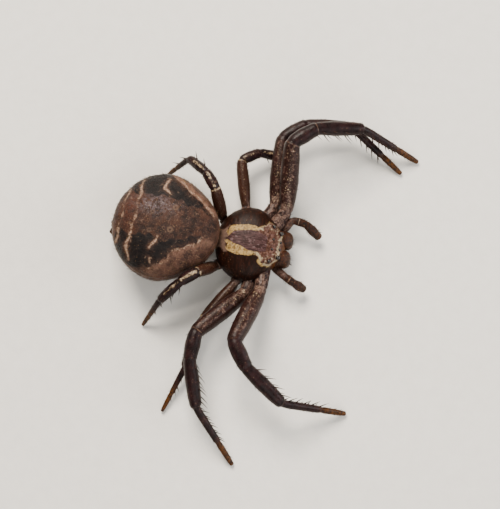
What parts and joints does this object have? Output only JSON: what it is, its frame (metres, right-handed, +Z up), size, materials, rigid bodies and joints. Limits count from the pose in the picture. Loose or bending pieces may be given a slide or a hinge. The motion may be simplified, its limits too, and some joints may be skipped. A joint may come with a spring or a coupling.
{
  "type": "crab spider",
  "caption": "Life-size still model of a female ground crab spider standing with its long front legs held out to the sides.",
  "frame": {"origin": "on the floor under the middle of the whole, legs included", "axes": "the spider faces -Y, +X is its left side, +Z is up, and its feet stand on Z 0"},
  "size_m": [0.017, 0.014, 0.0033],
  "materials": {
    "carapace": "satin",
    "abdomen": "satin",
    "legs": "satin",
    "mouth": "satin",
    "eyes": "gloss"
  },
  "bodies": {
    "root": {"cephalothorax": "carapace", "eye_anterior_median_left": "eyes", "eye_anterior_median_right": "eyes", "eye_anterior_lateral_left": "eyes", "eye_anterior_lateral_right": "eyes", "eye_posterior_median_left": "eyes", "eye_posterior_median_right": "eyes", "eye_posterior_lateral_left": "eyes", "eye_posterior_lateral_right": "eyes", "leg_left_1_coxa": "legs", "leg_left_1_femur": "legs", "leg_left_1_patella": "legs", "leg_left_1_tibia": "legs", "leg_left_1_foot": "legs", "leg_left_2_coxa": "legs", "leg_left_2_femur": "legs", "leg_left_2_patella": "legs", "leg_left_2_tibia": "legs", "leg_left_2_foot": "legs", "leg_left_3_coxa": "legs", "leg_left_3_femur": "legs", "leg_left_3_patella": "legs", "leg_left_3_tibia": "legs", "leg_left_3_foot": "legs", "leg_left_4_coxa": "legs", "leg_left_4_femur": "legs", "leg_left_4_patella": "legs", "leg_left_4_tibia": "legs", "leg_left_4_foot": "legs", "leg_right_1_coxa": "legs", "leg_right_1_femur": "legs", "leg_right_1_patella": "legs", "leg_right_1_tibia": "legs", "leg_right_1_foot": "legs", "leg_right_2_coxa": "legs", "leg_right_2_femur": "legs", "leg_right_2_patella": "legs", "leg_right_2_tibia": "legs", "leg_right_2_foot": "legs", "leg_right_3_coxa": "legs", "leg_right_3_femur": "legs", "leg_right_3_patella": "legs", "leg_right_3_tibia": "legs", "leg_right_3_foot": "legs", "leg_right_4_coxa": "legs", "leg_right_4_femur": "legs", "leg_right_4_patella": "legs", "leg_right_4_tibia": "legs", "leg_right_4_foot": "legs", "chelicera_left": "mouth", "chelicera_right": "mouth", "mouthparts": "mouth", "palp_left": "mouth", "palp_right": "mouth", "abdomen": "abdomen", "pedicel": "carapace", "spinnerets": "mouth"}
  },
  "joints": []
}
